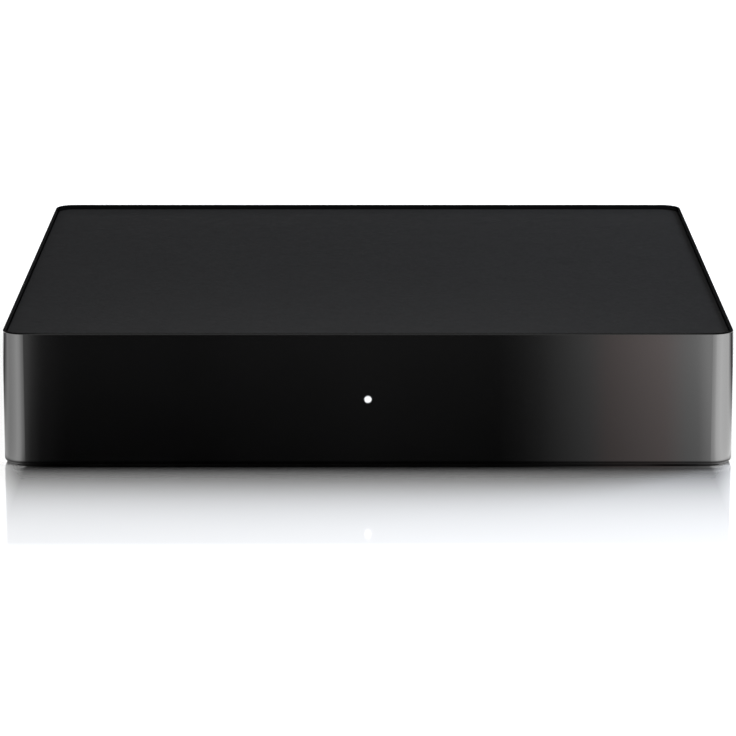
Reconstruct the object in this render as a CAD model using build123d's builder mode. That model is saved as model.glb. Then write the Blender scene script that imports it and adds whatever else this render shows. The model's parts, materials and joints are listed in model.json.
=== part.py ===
"""Streaming media player: a low square box with a gloss wrap-around wall and a matte lid.

Frame: +Z up, the front faces -Y, the sockets face +Y and +X. The origin is on the table, under the
centre of the box. Every piece that would come apart on a bench is written as its own STEP file.
"""

from build123d import *
from math import pi, radians, tan
import os

os.makedirs("parts", exist_ok=True)

# ---------------------------------------------------------------- driving dimensions (millimetres)
# Body
body_width = 118.0  # plan size, the same in X and Y
corner_radius = 3.6
rim_top = 22.0
foot_drop = 0.3  # air gap between the table and the wall's lower edge
wall = 1.8
rim_width = 0.45  # thin lip that stands round the lid
rim_drop = 0.8  # how far the lid lies below the lip
lid_thickness = 1.6
ledge_reach = 3.2  # from the outer face to the ledge's inner edge
ledge_height = 1.2
base_thickness = 2.0
base_inset = 0.2  # the base lies this far above the wall's lower edge
fit_gap = 0.1
overcut = 1.0  # a cutting solid runs this far past the faces that it cuts
lower_edge_fillet = 0.6
rim_fillet = 0.2

# Rear socket panel
window_half = 50.0
window_low = 3.9
panel_sink = 0.4  # the panel's face lies this far inside the rear wall's face
flange_reach = 1.5
flange_thickness = 1.4
port_gap = 0.2  # clearance round each socket in the panel

# Circuit board
board_low = 4.9
board_thickness = 1.2
board_left, board_right = -50.0, 54.0
board_front, board_rear = -50.0, 53.0
board_notch = 4.6  # corner notch that clears a screw boss

# Fasteners and feet
case_screw_at = 50.0  # X and Y of the case screws, which also centre the feet
case_screw_radius = 1.3
case_screw_length = 11.0
board_screw_radius = 1.25
screw_fit = 0.02  # radial gap round a screw in its boss
board_screw_spots = ((-45.0, -18.0), (45.0, -18.0), (-46.0, 34.0), (45.0, 36.0))
foot_radius = 5.5
foot_pocket_depth = 0.7

# Socket positions: X along the rear panel, Y along the right wall
dc_x, lan_x, video_x, optical_x, av_x, reset_x = 40.0, 22.0, 1.0, -17.0, -31.0, -42.0
usb_a_y, usb_c_y = 20.0, 3.0

# Motion
reset_travel = 0.35
door_swing = 88.0  # degrees that the optical shutter opens, for the record's joint

# ---------------------------------------------------------------- derived levels
half = body_width / 2
inner_half = half - wall
band_low = foot_drop
lid_top = rim_top - rim_drop
lid_low = lid_top - lid_thickness
ledge_low = lid_low - ledge_height
base_low = band_low + base_inset
base_top = base_low + base_thickness
board_top = board_low + board_thickness
panel_face = half - panel_sink
panel_back = inner_half - flange_thickness
mouth_y = panel_face - 0.1  # the sockets' mouths, just inside the panel's face
usb_mouth_x = inner_half - fit_gap
led_z = (band_low + rim_top) / 2
four_corners = [(x, y) for x in (-case_screw_at, case_screw_at) for y in (-case_screw_at, case_screw_at)]


# ---------------------------------------------------------------- helpers used inside a BuildPart
def span(centre, length):
    """The two ends of a length that is centred on a value."""
    return (centre - length / 2, centre + length / 2)


def block(x, y, z, mode=Mode.ADD):
    """A box between two X values, two Y values and two Z values."""
    with Locations(((x[0] + x[1]) / 2, (y[0] + y[1]) / 2, (z[0] + z[1]) / 2)):
        Box(abs(x[1] - x[0]), abs(y[1] - y[0]), abs(z[1] - z[0]), mode=mode)


def square_slab(half_width, radius, low, high, mode=Mode.ADD):
    """A square slab with rounded corners, centred over the origin."""
    with BuildSketch(Plane.XY.offset(low)) as outline:
        RectangleRounded(2 * half_width, 2 * half_width, radius)
    extrude(outline.sketch, amount=high - low, mode=mode)


def post(x, y, radius, low, high, mode=Mode.ADD):
    """An upright round post or hole."""
    with Locations((x, y, (low + high) / 2)):
        Cylinder(radius, high - low, mode=mode)


def rod(plane, radius, start, end, mode=Mode.ADD):
    """A round rod along a plane's normal, between two distances from the plane."""
    with BuildSketch(plane.offset(start)) as section:
        Circle(radius)
    extrude(section.sketch, amount=end - start, mode=mode)


def bar(plane, width, height, start, end, radius=0.0, shift=(0, 0), mode=Mode.ADD):
    """A rectangular bar along a plane's normal, between two distances from the plane."""
    with BuildSketch(plane.offset(start)) as section:
        with Locations(shift):
            if radius:
                RectangleRounded(width, height, radius)
            else:
                Rectangle(width, height)
    extrude(section.sketch, amount=end - start, mode=mode)


def rear_mouth(x, z):
    """A socket's mouth on the rear panel: local X to the left as seen from behind, Y up, Z outwards."""
    return Plane(origin=(x, mouth_y, z), x_dir=(-1, 0, 0), z_dir=(0, 1, 0))


def side_mouth(y, z):
    """A socket's mouth behind the right wall: local X to the rear, Y up, Z outwards."""
    return Plane(origin=(usb_mouth_x, y, z), x_dir=(0, 1, 0), z_dir=(1, 0, 0))


def video_outline(grow=0.0):
    """The ten-sided mouth of a video socket: a wide upper part and slanted lower corners."""
    w, h = video_width / 2 + grow, video_height / 2 + grow
    with BuildLine() as edge:
        Polyline(
            (-w, h), (w, h), (w, -h + video_shoulder + video_slant), (w - video_slant, -h + video_shoulder),
            (w - video_slant, -h), (-w + video_slant, -h), (-w + video_slant, -h + video_shoulder),
            (-w, -h + video_shoulder + video_slant), close=True,
        )
    make_face(edge.edges())


def finish(part, name):
    """Labels a finished piece and writes it."""
    part.label = name
    export_step(part, f"parts/{name}.step")


# ---------------------------------------------------------------- socket sizes and mouths
shell_sheet = 0.3
lan_width, lan_height, lan_depth = 16.0, 11.3, 17.0
lan_plug_width, lan_plug_height, lan_plug_depth = 11.9, 6.9, 13.0
video_width, video_height, video_depth = 14.6, 5.2, 11.0
video_slant, video_shoulder = 0.9, 1.1
usb_a_width, usb_a_height, usb_a_depth = 13.1, 5.7, 14.0
usb_c_width, usb_c_height, usb_c_depth = 8.94, 3.16, 7.3
av_body_width, av_body_height, av_depth = 7.0, 6.4, 15.0
av_barrel_radius, av_bore_radius, av_bore_depth = 3.0, 1.8, 14.0
dc_body_width, dc_body_height, dc_depth = 9.0, 11.0, 14.0
dc_nose_radius, dc_bore_radius, dc_bore_depth = 4.1, 3.2, 9.5
dc_pin_radius, dc_root_radius, dc_pin_sink = 1.0, 0.8, 0.8
optical_width, optical_height, optical_depth = 10.2, 10.9, 13.5
optical_mouth_width, optical_mouth_low, optical_mouth_high = 8.4, 7.0, 15.2
reset_cap_radius = 1.4

# How far each socket's lower side, or its axis, lies above the board
video_lift, usb_a_lift, usb_c_lift, av_lift, dc_axis_lift, reset_axis_lift = 0.5, 0.4, 0.1, 0.1, 6.4, 2.1

lan_mouth = rear_mouth(lan_x, board_top + lan_height / 2)
video_mouth = rear_mouth(video_x, board_top + video_lift + video_height / 2)
av_mouth = rear_mouth(av_x, board_top + av_lift + av_body_height / 2)
dc_mouth = rear_mouth(dc_x, board_top + dc_axis_lift)
optical_mouth = rear_mouth(optical_x, (optical_mouth_low + optical_mouth_high) / 2)
optical_body = rear_mouth(optical_x, board_top + optical_height / 2)
reset_mouth = rear_mouth(reset_x, board_top + reset_axis_lift)
usb_a_mouth = side_mouth(usb_a_y, board_top + usb_a_lift + usb_a_height / 2)
usb_c_mouth = side_mouth(usb_c_y, board_top + usb_c_lift + usb_c_height / 2)

# Solder tabs of the socket shells: centre X and Y, and size in X and Y. The board has a slot for each.
lan_tab_depth, lan_tab = 9.0, 1.6
video_tab_depths, video_tab = (7.0, 10.2), 1.2
usb_a_tab_depth, usb_a_tab = 8.0, 2.0
dc_tab_depths, dc_tab_width, dc_tab_sheet = (dc_depth - 0.5, 8.0), 2.4, 0.5
sheet_middle = shell_sheet / 2
lan_tabs = [
    (lan_x + side * (lan_width / 2 - sheet_middle), mouth_y - lan_tab_depth, shell_sheet, lan_tab)
    for side in (-1, 1)
]
video_tabs = [
    (video_x + side * (video_width / 2 - sheet_middle), mouth_y - depth, shell_sheet, video_tab)
    for side in (-1, 1) for depth in video_tab_depths
]
usb_a_tabs = [
    (usb_mouth_x - usb_a_tab_depth, usb_a_y + side * (usb_a_width / 2 - sheet_middle), usb_a_tab, shell_sheet)
    for side in (-1, 1)
]
dc_tabs = [(dc_x, mouth_y - depth, dc_tab_width, dc_tab_sheet) for depth in dc_tab_depths]
tab_end, tab_gap = board_low - 1.0, 0.15
tab_lap = 1.0  # how far a tab runs up its shell's side


def solder_tabs(tabs, top):
    """The tabs that carry a socket, from its own body down through the board."""
    for x, y, wide, long in tabs:
        block(span(x, wide), span(y, long), (tab_end, top))


# ================================================================ casing
# Gloss wall: one square ring with a thin lip on top, a ledge for the lid, the rear window, two side
# socket holes, the light hole, and two pegs that hold the light pipe.
usb_hole_gap = 0.5
led_hole_radius = 0.65
usb_hole_corner = 1.0
peg_radius, peg_length, peg_spread, peg_root = 0.7, 1.6, 4.2, 0.2
ledge_corner = 1.4

with BuildPart() as side_band:
    square_slab(half, corner_radius, band_low, rim_top)
    fillet(side_band.faces().sort_by(Axis.Z)[0].outer_wire().edges(), lower_edge_fillet)
    fillet(side_band.faces().sort_by(Axis.Z)[-1].outer_wire().edges(), rim_fillet)
    square_slab(inner_half, corner_radius - wall, band_low, ledge_low, mode=Mode.SUBTRACT)
    square_slab(half - ledge_reach, ledge_corner, ledge_low, lid_low, mode=Mode.SUBTRACT)
    square_slab(half - rim_width, corner_radius - rim_width, lid_low, rim_top, mode=Mode.SUBTRACT)
    block((-window_half, window_half), (inner_half - overcut, half + overcut), (window_low, ledge_low),
          mode=Mode.SUBTRACT)
    bar(usb_a_mouth, usb_a_width + 2 * usb_hole_gap, usb_a_height + 2 * usb_hole_gap,
        -overcut, wall + overcut, radius=usb_hole_corner, mode=Mode.SUBTRACT)
    with BuildSketch(usb_c_mouth.offset(-overcut)):
        SlotOverall(usb_c_width + 2 * usb_hole_gap, usb_c_height + 2 * usb_hole_gap)
    extrude(amount=wall + 2 * overcut, mode=Mode.SUBTRACT)
    front_inside = Plane(origin=(0, -inner_half, led_z), x_dir=(1, 0, 0), z_dir=(0, -1, 0))
    rod(front_inside, led_hole_radius, -overcut, wall + overcut, mode=Mode.SUBTRACT)
    for side in (-1, 1):
        peg_plane = Plane(origin=(side * peg_spread, -inner_half, led_z), x_dir=(1, 0, 0), z_dir=(0, 1, 0))
        rod(peg_plane, peg_radius, -peg_root, peg_length)
finish(side_band.part, "side_band")

# Matte lid: a flat plate inside the lip, with four screw bosses and six snap hooks that grip the ledge.
lid_gap = 0.05
lid_half = half - rim_width - lid_gap
boss_radius, boss_low = 3.0, 7.1
boss_bore_depth = 10.0
gusset_span, gusset_thickness, gusset_clear = 9.0, 1.0, 6.0
lid_edge_fillet = 0.15
hook_width, hook_thickness, hook_low, hook_nose = 6.0, 1.2, 17.6, 0.6
hook_at = 25.0

with BuildPart() as top_panel:
    square_slab(lid_half, corner_radius - rim_width - lid_gap, lid_low, lid_top)
    fillet(top_panel.faces().sort_by(Axis.Z)[-1].edges(), lid_edge_fillet)
    for x, y in four_corners:
        post(x, y, boss_radius, boss_low, lid_low)
        for turn in (45, 135):
            with Locations(Location((x, y, (boss_low + gusset_clear + lid_low) / 2), (0, 0, turn))):
                Box(gusset_span, gusset_thickness, lid_low - boss_low - gusset_clear)
    for x, y in four_corners:
        post(x, y, case_screw_radius + screw_fit, boss_low, boss_low + boss_bore_depth, mode=Mode.SUBTRACT)
    hook_outer = half - ledge_reach - fit_gap
    for outward in (Vector(0, -1, 0), Vector(1, 0, 0), Vector(-1, 0, 0)):
        along = outward.cross(Vector(0, 0, 1))
        for shift in (-hook_at, hook_at):
            hook_plane = Plane(origin=along * (shift - hook_width / 2), x_dir=outward, z_dir=along)
            with BuildSketch(hook_plane) as hook_section:
                with BuildLine():
                    Polyline(
                        (hook_outer - hook_thickness, lid_low), (hook_outer, lid_low),
                        (hook_outer, ledge_low - fit_gap), (hook_outer + hook_nose, ledge_low - fit_gap),
                        (hook_outer, hook_low), (hook_outer - hook_thickness, hook_low), close=True,
                    )
                make_face()
            extrude(hook_section.sketch, amount=hook_width)
finish(top_panel.part, "top_panel")

# Matte base: a plate inside the wall's lower edge, with an upstand, four bosses that meet the lid's
# bosses, four board pillars, vent slots, foot pockets, a label recess and two ribs behind the rear panel.
upstand_height, upstand_thickness = 1.7, 1.2
base_half, base_edge_fillet = inner_half - fit_gap, 0.3
base_corner = corner_radius - wall - fit_gap
base_boss_radius, head_bore_radius, head_bore_top, screw_clearance = 3.7, 2.7, 3.6, 1.5
pillar_radius, pillar_bore = 3.0, 3.1
rib_spots, rib_width, rib_thickness, rib_height = (-36.0, 31.0), 6.0, 1.3, 2.4
vent_length, vent_width, vent_pitch, vent_row_pitch, vent_count = 16.0, 1.6, 3.6, 21.0, 11
vent_y = 8.0
label_width, label_depth, label_recess, label_thickness = 46.0, 20.0, 0.25, 0.15
label_y, label_corner, label_gap = -36.0, 1.5, 0.3

with BuildPart() as bottom_cover:
    square_slab(base_half, base_corner, base_low, base_top)
    fillet(bottom_cover.faces().sort_by(Axis.Z)[0].edges(), base_edge_fillet)
    square_slab(base_half, base_corner, base_top, base_top + upstand_height)
    square_slab(base_half - upstand_thickness, base_corner - upstand_thickness, base_top,
                base_top + upstand_height, mode=Mode.SUBTRACT)
    flange_clear = window_half + flange_reach + overcut
    block((-flange_clear, flange_clear), (panel_back - fit_gap, base_half + overcut),
          (base_top, base_top + upstand_height), mode=Mode.SUBTRACT)
    for x, y in four_corners:
        post(x, y, base_boss_radius, base_top, boss_low - fit_gap)
    for x, y in board_screw_spots:
        post(x, y, pillar_radius, base_top, board_low)
    for x in rib_spots:
        block(span(x, rib_width), (panel_back - fit_gap - rib_thickness, panel_back - fit_gap),
              (base_top, base_top + rib_height))
    for x, y in four_corners:
        post(x, y, foot_radius + fit_gap, base_low, base_low + foot_pocket_depth, mode=Mode.SUBTRACT)
        post(x, y, head_bore_radius, base_low, head_bore_top, mode=Mode.SUBTRACT)
        post(x, y, screw_clearance, base_low, boss_low, mode=Mode.SUBTRACT)
    for x, y in board_screw_spots:
        post(x, y, board_screw_radius + screw_fit, board_low - pillar_bore, board_low, mode=Mode.SUBTRACT)
    with BuildSketch(Plane.XY.offset(base_low)):
        with Locations((0, vent_y)):
            with GridLocations(vent_pitch, vent_row_pitch, vent_count, 2):
                SlotOverall(vent_length, vent_width, rotation=90)
    extrude(amount=base_thickness, mode=Mode.SUBTRACT)
    with BuildSketch(Plane.XY.offset(base_low)):
        with Locations((0, label_y)):
            RectangleRounded(label_width, label_depth, label_corner)
        offset(amount=label_gap)
    extrude(amount=label_recess, mode=Mode.SUBTRACT)
finish(bottom_cover.part, "bottom_cover")

# Rear panel: a matte plate that fills the wall's window, with a flange inside and a hole for each socket.
through = wall + flange_thickness + overcut
optical_hole_corner = 0.4

with BuildPart() as rear_panel:
    block((-window_half + fit_gap, window_half - fit_gap), (inner_half, panel_face),
          (window_low + fit_gap, ledge_low - fit_gap))
    block(span(0, 2 * (window_half + flange_reach)), (panel_back, inner_half),
          (base_top + fit_gap, ledge_low - fit_gap))
    bar(lan_mouth, lan_width + 2 * port_gap, lan_height + 2 * port_gap, -through, overcut, mode=Mode.SUBTRACT)
    with BuildSketch(video_mouth.offset(-through)):
        video_outline(port_gap)
    extrude(amount=through + overcut, mode=Mode.SUBTRACT)
    bar(optical_body, optical_width + 2 * port_gap, optical_height + 2 * port_gap, -through, overcut,
        radius=optical_hole_corner, mode=Mode.SUBTRACT)
    rod(av_mouth, av_barrel_radius + port_gap, -through, overcut, mode=Mode.SUBTRACT)
    rod(dc_mouth, dc_nose_radius + port_gap, -through, overcut, mode=Mode.SUBTRACT)
    rod(reset_mouth, reset_cap_radius + fit_gap, -through, overcut, mode=Mode.SUBTRACT)
finish(rear_panel.part, "rear_panel")

# Four glued rubber feet over the case screws.
foot_edge_fillet = 0.35
for name, (x, y) in zip(("rear_left", "rear_right", "front_left", "front_right"),
                        ((-1, 1), (1, 1), (-1, -1), (1, -1))):
    with BuildPart() as foot:
        post(x * case_screw_at, y * case_screw_at, foot_radius, 0, base_low + foot_pocket_depth)
        fillet(foot.faces().sort_by(Axis.Z)[0].edges(), foot_edge_fillet)
    finish(foot.part, f"foot_{name}")

# Blank label film in the base's recess.
with BuildPart() as label_film:
    with BuildSketch(Plane.XY.offset(base_low + label_recess - label_thickness)):
        with Locations((0, label_y)):
            RectangleRounded(label_width, label_depth, label_corner)
    extrude(amount=label_thickness)
finish(label_film.part, "label_film")


# ================================================================ fasteners
screw_head_height, case_head_radius, board_head_radius = 1.6, 2.4, 2.2
recess_width, recess_depth, recess_share = 0.5, 0.8, 0.6  # the cross is 0.6 of the head across
board_screw_length = 4.1


def pan_screw(x, y, head_low, head_height, head_radius, shank_radius, shank_length, head_down):
    """A pan-head screw with a cross recess. head_down is true where it is driven from below."""
    up = 1 if head_down else -1
    head_outer = head_low if head_down else head_low + head_height
    bearing = head_low + head_height if head_down else head_low
    shank_low = bearing if head_down else bearing - shank_length
    post(x, y, head_radius, head_low, head_low + head_height)
    post(x, y, shank_radius, shank_low, shank_low + shank_length)
    for turn in (0, 90):
        with Locations(Location((x, y, head_outer + up * recess_depth / 2), (0, 0, turn))):
            Box(2 * head_radius * recess_share, recess_width, recess_depth, mode=Mode.SUBTRACT)


with BuildPart() as case_screws:
    for x, y in four_corners:
        pan_screw(x, y, head_bore_top - screw_head_height, screw_head_height, case_head_radius,
                  case_screw_radius, case_screw_length, True)
finish(case_screws.part, "case_screws")

with BuildPart() as board_screws:
    for x, y in board_screw_spots:
        pan_screw(x, y, board_top, screw_head_height, board_head_radius,
                  board_screw_radius, board_screw_length, False)
finish(board_screws.part, "board_screws")

# ================================================================ circuit board and what is soldered to it
sink_half, sink_base, sink_top = 22.0, 2.0, 16.2
push_pin_spots = ((-18.5, 18.5), (18.5, -18.5))
push_pin_radius, push_pin_gap = 1.2, 0.1

notch_size = 20.0  # reaches past the board's edges
notch_span = 2 * case_screw_at - 2 * board_notch + notch_size

with BuildPart() as main_board:
    block((board_left, board_right), (board_front, board_rear), (board_low, board_top))
    with BuildSketch(Plane.XY.offset(board_low)):
        with GridLocations(notch_span, notch_span, 2, 2):
            RectangleRounded(notch_size, notch_size, board_notch)
    extrude(amount=board_thickness, mode=Mode.SUBTRACT)
    for x, y in board_screw_spots:
        post(x, y, screw_clearance, board_low, board_top, mode=Mode.SUBTRACT)
    for x, y in push_pin_spots:
        post(x, y, push_pin_radius + push_pin_gap, board_low, board_top, mode=Mode.SUBTRACT)
    for x, y, wide, long in lan_tabs + video_tabs + usb_a_tabs + dc_tabs:
        block(span(x, wide + 2 * tab_gap), span(y, long + 2 * tab_gap),
              (board_low, board_top), mode=Mode.SUBTRACT)
finish(main_board.part, "main_board")


def chips(spots, width, length, height, low=board_top):
    """Flat chip packages at the given centres."""
    for x, y in spots:
        block(span(x, width), span(y, length), (low, low + height))


processor_size, processor_height, pad_height = 15.0, 1.3, 1.0
with BuildPart() as processor_chip:
    chips([(0, 0)], processor_size, processor_size, processor_height)
finish(processor_chip.part, "processor_chip")

memory_spots, memory_size = [(-15.5, 5.5), (-15.5, -9.5)], (8.0, 13.0, 1.1)
with BuildPart() as memory_chips:
    chips(memory_spots, *memory_size)
finish(memory_chips.part, "memory_chips")

flash_spot, flash_size = (15.5, -4.0), (11.5, 13.0, 1.0)
with BuildPart() as flash_chip:
    chips([flash_spot], *flash_size)
finish(flash_chip.part, "flash_chip")

with BuildPart() as thermal_pad:
    chips([(0, 0)], processor_size, processor_size, pad_height, board_top + processor_height)
finish(thermal_pad.part, "thermal_pad")

# Aluminium heat sink: a base with straight fins, held by two sprung push pins.
sink_low = board_top + processor_height + pad_height
fin_thickness, fin_pitch, fin_count = 1.2, 4.0, 11
fin_clear_radius = 4.0  # no fins this near a push pin
pin_spring_radius, pin_spring_wire, pin_spring_turns, pin_spring_gap = 1.9, 0.25, 4, 0.03
pin_head_low = sink_low + sink_base + 4.4
pin_head_radius, pin_head_height = 2.6, 1.0
barb_radius, barb_height, barb_low, pin_end = 1.7, 1.0, board_low - 1.1, board_low - 1.2
pin_slot_width, pin_slot_top = 0.6, board_low + 0.6

with BuildPart() as heat_sink:
    block((-sink_half, sink_half), (-sink_half, sink_half), (sink_low, sink_low + sink_base))
    with GridLocations(fin_pitch, 0, fin_count, 1):
        with Locations((0, 0, (sink_low + sink_base + sink_top) / 2)):
            Box(fin_thickness, 2 * sink_half, sink_top - sink_low - sink_base)
    for x, y in push_pin_spots:
        post(x, y, push_pin_radius + push_pin_gap, sink_low, sink_low + sink_base, mode=Mode.SUBTRACT)
        post(x, y, fin_clear_radius, sink_low + sink_base, sink_top, mode=Mode.SUBTRACT)
finish(heat_sink.part, "heat_sink")

with BuildPart() as heat_sink_push_pins:
    for x, y in push_pin_spots:
        post(x, y, push_pin_radius, pin_end, pin_head_low)
        post(x, y, pin_head_radius, pin_head_low, pin_head_low + pin_head_height)
        with Locations((x, y, barb_low + barb_height / 2)):
            Cone(push_pin_radius, barb_radius, barb_height, rotation=(180, 0, 0))
    for x, y in push_pin_spots:
        block(span(x, pin_slot_width), span(y, 2 * (barb_radius + overcut)),
              (pin_end - overcut, pin_slot_top), mode=Mode.SUBTRACT)
finish(heat_sink_push_pins.part, "heat_sink_push_pins")

pin_spring_low = sink_low + sink_base + pin_spring_wire + pin_spring_gap
pin_spring_rise = pin_head_low - pin_spring_wire - pin_spring_gap - pin_spring_low
pin_spring_pitch = pin_spring_rise / pin_spring_turns
with BuildPart() as heat_sink_springs:
    for x, y in push_pin_spots:
        with BuildLine() as coil:
            Helix(pin_spring_pitch, pin_spring_rise, pin_spring_radius, center=(x, y, pin_spring_low))
        with BuildSketch(Plane(coil.line @ 0, z_dir=coil.line % 0)) as wire:
            Circle(pin_spring_wire)
        sweep(wire.sketch, path=coil.line)
finish(heat_sink_springs.part, "heat_sink_springs")

# Radio module under a sheet-metal can, with two coaxial connectors, cables and wall antennas.
can_x, can_y, can_half_x, can_half_y, can_height = -34.0, -36.0, 9.5, 8.5, 2.6
can_sheet, can_gap, can_skirt = 0.25, 0.05, board_top + 0.6
can_hole_radius, can_hole_pitch, can_hole_rows = 0.6, 3.2, 4
radio_size = (13.0, 12.0, 1.9)
with BuildPart() as radio_module:
    chips([(can_x, can_y)], *radio_size)
finish(radio_module.part, "radio_module")

with BuildPart() as radio_can_frame:
    block(span(can_x, 2 * can_half_x), span(can_y, 2 * can_half_y),
          (board_top, board_top + can_height))
    hole_x, hole_y = can_half_x - 2 * can_sheet, can_half_y - 2 * can_sheet
    block(span(can_x, 2 * hole_x), span(can_y, 2 * hole_y), (board_top, board_top + can_height),
          mode=Mode.SUBTRACT)
finish(radio_can_frame.part, "radio_can_frame")

with BuildPart() as radio_can_lid:
    hole_x, hole_y = can_half_x + can_gap, can_half_y + can_gap
    lid_x, lid_y = hole_x + can_sheet, hole_y + can_sheet
    block(span(can_x, 2 * lid_x), span(can_y, 2 * lid_y),
          (can_skirt, board_top + can_height + can_sheet))
    block(span(can_x, 2 * hole_x), span(can_y, 2 * hole_y), (can_skirt, board_top + can_height),
          mode=Mode.SUBTRACT)
    with Locations((can_x, can_y, board_top + can_height)):
        with GridLocations(can_hole_pitch, can_hole_pitch, can_hole_rows, can_hole_rows):
            Cylinder(can_hole_radius, 2 * overcut, mode=Mode.SUBTRACT)
finish(radio_can_lid.part, "radio_can_lid")

coax_radius = 0.565
coax_z = board_top + 1.0
coax_spots = ((-19.0, -37.0), (-14.0, -37.0))
coax_tail = 2.6  # from a connector's centre to the end of its crimp
coax_cap_radius, coax_cap_height = 1.3, 1.6
crimp_half_width, crimp_half_height, crimp_start = 0.7, 0.6, 0.8
with BuildPart() as coax_connectors:
    for x, y in coax_spots:
        post(x, y, coax_cap_radius, board_top, board_top + coax_cap_height)
        block(span(x, 2 * crimp_half_width), (y + crimp_start, y + coax_tail),
              span(coax_z, 2 * crimp_half_height))
finish(coax_connectors.part, "coax_connectors")

antenna_sheet, antenna_y, antenna_z = 0.6, (-46.0, -12.0), (8.0, 17.0)
antenna_slots, antenna_slot_half, antenna_slot_low = (-32.0, -24.0, -16.0), 0.6, 10.0
cable_gap = 0.03
cable_wall_x = inner_half - fit_gap - antenna_sheet - coax_radius - cable_gap
cable_start_y, cable_start_z = -38.0, 12.5
for name, side in (("left", -1), ("right", 1)):
    with BuildPart() as antenna:
        outer = side * (inner_half - fit_gap)
        block((outer - side * antenna_sheet, outer), antenna_y, antenna_z)
        for y in antenna_slots:
            block((outer - side * antenna_sheet, outer), span(y, 2 * antenna_slot_half),
                  (antenna_slot_low, antenna_z[1]), mode=Mode.SUBTRACT)
    finish(antenna.part, f"antenna_{name}")

# Each cable leaves its antenna to the rear, drops to the board and turns forward into its connector.
left_end, right_end = coax_spots[0], coax_spots[1]
left_route = [
    (-cable_wall_x, cable_start_y, cable_start_z), (-cable_wall_x, -30.4, 12.3), (-50.5, -24.8, 9.6),
    (-40.0, -24.2, 7.5), (-28.5, -25.0, 7.2), (left_end[0], -25.2, 7.15),
    (left_end[0], left_end[1] + coax_tail, coax_z),
]
right_route = [
    (cable_wall_x, cable_start_y, cable_start_z), (cable_wall_x, -30.4, 12.2), (50.5, -25.3, 9.6),
    (37.0, -24.2, 7.6), (17.0, -25.2, 7.2), (0.0, -24.3, 7.2), (right_end[0], -24.9, 7.15),
    (right_end[0], right_end[1] + coax_tail, coax_z),
]


run_share = 0.45  # the part of the shorter run that an arc may use


def bend_radii(route):
    """The largest arc at each corner that its two runs leave room for."""
    points = [Vector(*p) for p in route]
    radii = []
    for before, corner, after in zip(points, points[1:], points[2:]):
        turn = (corner - before).get_angle(after - corner)
        shorter = min((corner - before).length, (after - corner).length)
        radii.append(run_share * shorter / tan(radians(turn / 2)))
    return radii


for name, route in (("left", left_route), ("right", right_route)):
    radii = bend_radii(route)
    print(f"antenna_cable_{name} bend radii", [round(r, 1) for r in radii])
    with BuildPart() as cable:
        with BuildLine() as path:
            FilletPolyline(*route, radius=radii)
        with BuildSketch(Plane(path.line @ 0, z_dir=path.line % 0)):
            Circle(coax_radius)
        sweep(path=path.line)
    straight_volume = pi * coax_radius**2 * path.wires()[0].length
    print("  its volume over section times length:", round(cable.part.volume / straight_volume, 4))
    finish(cable.part, f"antenna_cable_{name}")

# Front electronics: the infrared receiver, the status light and its light pipe.
ir_x, ir_half_width, ir_y, ir_z = 14.0, 2.8, (-49.0, -45.6), (7.8, 14.4)
ir_lens_radius, ir_lens_y, ir_lens_z = 1.9, -48.4, 11.6
ir_leg_pitch, ir_leg_half, ir_leg_y, ir_leg_lap = 2.0, 0.25, (-47.4, -46.9), 0.2
with BuildPart() as infrared_receiver:
    block(span(ir_x, 2 * ir_half_width), ir_y, ir_z)
    with Locations((ir_x, ir_lens_y, ir_lens_z)):
        Sphere(ir_lens_radius)
    for shift in (-ir_leg_pitch, 0, ir_leg_pitch):
        block(span(ir_x + shift, 2 * ir_leg_half), ir_leg_y, (board_top, ir_z[0] + ir_leg_lap))
finish(infrared_receiver.part, "infrared_receiver")

led_y, led_size = -48.0, (2.0, 1.6, 0.7)
with BuildPart() as status_light:
    chips([(0, led_y)], *led_size)
finish(status_light.part, "status_light")

# The pipe takes light up from the board, turns it at a 45 degree face and brings it to the front wall.
pipe_nose_radius, pipe_rod_radius, pipe_leg = 0.6, 1.0, 1.3
pipe_flange_half, pipe_flange_height, pipe_flange = 6.0, 3.5, 1.0
pipe_gap, pipe_foot = 0.05, board_top + 0.9
pipe_flange_y = -inner_half + pipe_gap
pipe_lap = 0.9  # the nose and the rod overlap inside the flange
with BuildPart() as light_pipe:
    rod(front_inside, pipe_nose_radius, -pipe_flange, wall)
    rod(front_inside, pipe_rod_radius, -inner_half - led_y, -pipe_lap)
    block((-pipe_flange_half, pipe_flange_half), (pipe_flange_y, pipe_flange_y + pipe_flange),
          span(led_z, pipe_flange_height))
    with BuildSketch(Plane.YZ):
        with BuildLine():
            Polyline((led_y - pipe_leg, pipe_foot), (led_y + pipe_leg, pipe_foot),
                     (led_y + pipe_leg, led_z - pipe_leg), (led_y - pipe_leg, led_z + pipe_leg), close=True)
        make_face()
    extrude(amount=pipe_leg, both=True)
    for side in (-1, 1):
        peg_hole = Plane(origin=(side * peg_spread, -inner_half, led_z), x_dir=(1, 0, 0), z_dir=(0, 1, 0))
        rod(peg_hole, peg_radius + pipe_gap, 0, pipe_flange + overcut, mode=Mode.SUBTRACT)
finish(light_pipe.part, "light_pipe")

# Power and support parts.
transformer_spot, transformer_size = (lan_x, 32.5), (15.5, 11.0, 5.6)
with BuildPart() as network_transformer:
    chips([transformer_spot], *transformer_size)
finish(network_transformer.part, "network_transformer")

inductor_spots = [(34.0, 37.0), (34.0, 29.0), (34.0, 6.0), (-26.0, 18.0)]
inductor_size, inductor_corner, inductor_height = 5.4, 1.2, 3.0
with BuildPart() as power_inductors:
    with BuildSketch(Plane.XY.offset(board_top)):
        with Locations(*inductor_spots):
            RectangleRounded(inductor_size, inductor_size, inductor_corner)
    extrude(amount=inductor_height)
finish(power_inductors.part, "power_inductors")

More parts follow.
